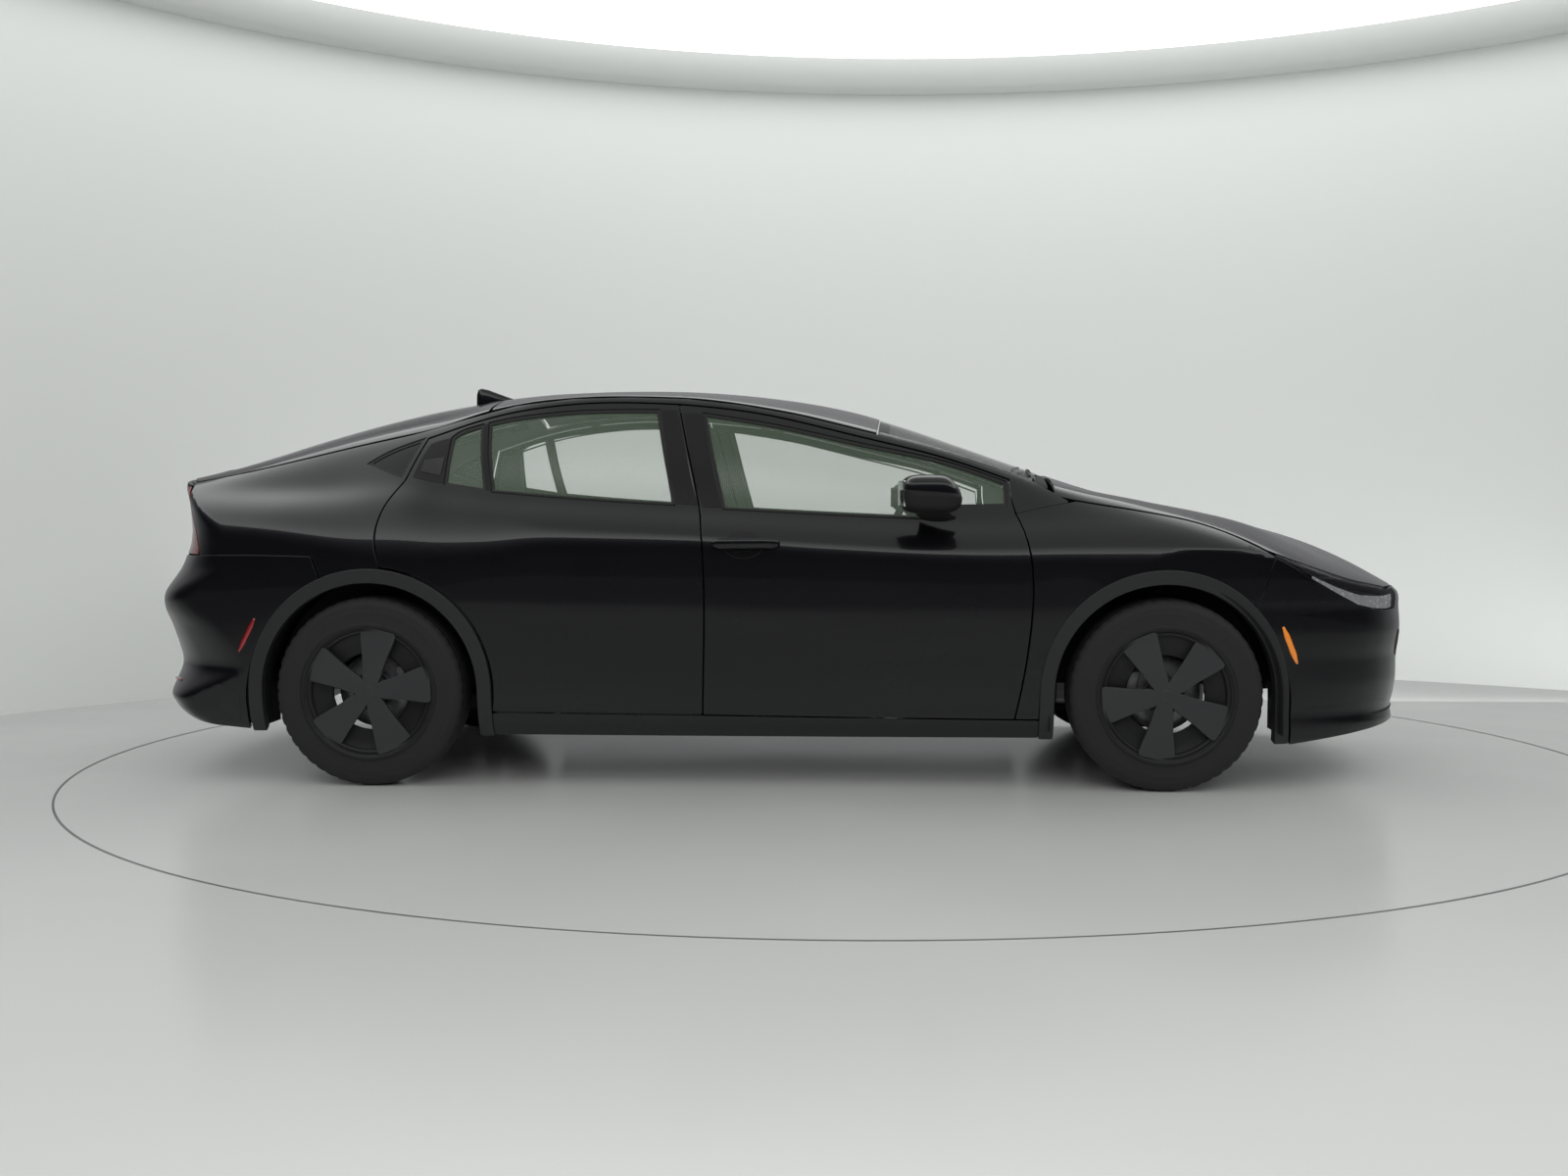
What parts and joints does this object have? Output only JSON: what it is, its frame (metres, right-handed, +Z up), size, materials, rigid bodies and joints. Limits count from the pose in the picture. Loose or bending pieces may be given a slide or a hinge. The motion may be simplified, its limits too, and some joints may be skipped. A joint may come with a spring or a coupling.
{
  "type": "passenger car",
  "caption": "Low five-door liftback car with opening doors, hood and tailgate, steered front wheels and turning wheels.",
  "frame": {"origin": "on the ground, below the middle of the car's length and width", "axes": "+X forward, +Y to the car's left, +Z up"},
  "size_m": [4.5941, 2.06, 1.443],
  "materials": {
    "paint": "gloss",
    "glass": "tinted",
    "tyre": "matte",
    "wheel": "satin",
    "lamp_clear": "gloss",
    "lamp_red": "gloss",
    "black_plastic": "matte",
    "seat_cloth": "matte",
    "cast": "matte",
    "chassis": "matte"
  },
  "bodies": {
    "body": {"floor_pan": "chassis", "front_wheel_houses": "chassis", "rear_wheel_houses": "chassis", "front_rails": "chassis", "body_frame": "chassis", "sill_panels": "paint", "roof_rails": "paint", "rear_quarter_panels": "paint", "quarter_windows": "glass", "front_fenders": "paint", "roof_panel": "paint", "windshield": "glass", "cowl_panel": "black_plastic", "wipers": "black_plastic", "front_bumper": "paint", "front_grille": "black_plastic", "headlamps": "lamp_clear", "rear_bumper": "paint", "tail_lamps": "lamp_red", "wheel_arch_trims": "black_plastic", "engine_block": "cast", "dashboard": "black_plastic", "steering_column": "black_plastic", "front_seats": "seat_cloth", "rear_seat": "seat_cloth", "front_subframe": "chassis", "rear_axle": "chassis", "exhaust": "chassis"},
    "hood": {"hood": "paint"},
    "tailgate": {"tailgate": "paint", "tailgate_panel": "paint", "rear_window": "glass", "tail_lamp_bar": "lamp_red", "antenna_fin": "paint"},
    "door_front_left": {"door_front_left": "paint", "door_glass_front_left": "glass", "mirror_left": "paint"},
    "door_front_right": {"door_front_right": "paint", "door_glass_front_right": "glass", "mirror_right": "paint"},
    "door_rear_left": {"door_rear_left": "paint", "door_glass_rear_left": "glass"},
    "door_rear_right": {"door_rear_right": "paint", "door_glass_rear_right": "glass"},
    "knuckle_left": {"knuckle_left": "chassis"},
    "knuckle_right": {"knuckle_right": "chassis"},
    "wheel_front_left": {"wheel_front_left": "wheel", "tyre_front_left": "tyre"},
    "wheel_front_right": {"wheel_front_right": "wheel", "tyre_front_right": "tyre"},
    "wheel_rear_left": {"wheel_rear_left": "wheel", "tyre_rear_left": "tyre"},
    "wheel_rear_right": {"wheel_rear_right": "wheel", "tyre_rear_right": "tyre"},
    "steering_wheel": {"steering_wheel": "black_plastic"}
  },
  "joints": [
    {"name": "door_front_left_hinge", "type": "hinge", "parent": "body", "child": "door_front_left", "pos_m": [0.846, 0.855, 0.6], "axis": [0, 0, -1], "range_deg": [0, 65]},
    {"name": "door_front_right_hinge", "type": "hinge", "parent": "body", "child": "door_front_right", "pos_m": [0.846, -0.855, 0.6], "axis": [0, 0, 1], "range_deg": [0, 65]},
    {"name": "door_rear_left_hinge", "type": "hinge", "parent": "body", "child": "door_rear_left", "pos_m": [-0.285, 0.855, 0.6], "axis": [0, 0, -1], "range_deg": [0, 65]},
    {"name": "door_rear_right_hinge", "type": "hinge", "parent": "body", "child": "door_rear_right", "pos_m": [-0.285, -0.855, 0.6], "axis": [0, 0, 1], "range_deg": [0, 65]},
    {"name": "hood_hinge", "type": "hinge", "parent": "body", "child": "hood", "pos_m": [1.003, 0, 1.062], "axis": [0, -1, 0], "range_deg": [0, 50]},
    {"name": "tailgate_hinge", "type": "hinge", "parent": "body", "child": "tailgate", "pos_m": [-1.11, 0, 1.38], "axis": [0, 1, 0], "range_deg": [0, 65]},
    {"name": "steer_left", "type": "hinge", "parent": "body", "child": "knuckle_left", "pos_m": [1.34, 0.7, 0.331], "axis": [0, 0, 1], "range_deg": [-33, 33]},
    {"name": "steer_right", "type": "hinge", "parent": "body", "child": "knuckle_right", "pos_m": [1.34, -0.7, 0.331], "axis": [0, 0, 1], "range_deg": [-33, 33]},
    {"name": "wheel_front_left_spin", "type": "hinge", "parent": "knuckle_left", "child": "wheel_front_left", "pos_m": [1.34, 0.78, 0.331], "axis": [0, 1, 0], "continuous": true},
    {"name": "wheel_front_right_spin", "type": "hinge", "parent": "knuckle_right", "child": "wheel_front_right", "pos_m": [1.34, -0.78, 0.331], "axis": [0, 1, 0], "continuous": true},
    {"name": "wheel_rear_left_spin", "type": "hinge", "parent": "body", "child": "wheel_rear_left", "pos_m": [-1.41, 0.785, 0.331], "axis": [0, 1, 0], "continuous": true},
    {"name": "wheel_rear_right_spin", "type": "hinge", "parent": "body", "child": "wheel_rear_right", "pos_m": [-1.41, -0.785, 0.331], "axis": [0, 1, 0], "continuous": true},
    {"name": "steering_wheel_turn", "type": "hinge", "parent": "body", "child": "steering_wheel", "pos_m": [0.388, 0.372, 0.818], "axis": [-0.8988, 0, 0.4384], "range_deg": [-480, 480]}
  ],
  "couplings": [
    {"joint": "steer_right", "follows": "steer_left", "ratio": 1},
    {"joint": "steering_wheel_turn", "follows": "steer_left", "ratio": 13.6}
  ]
}
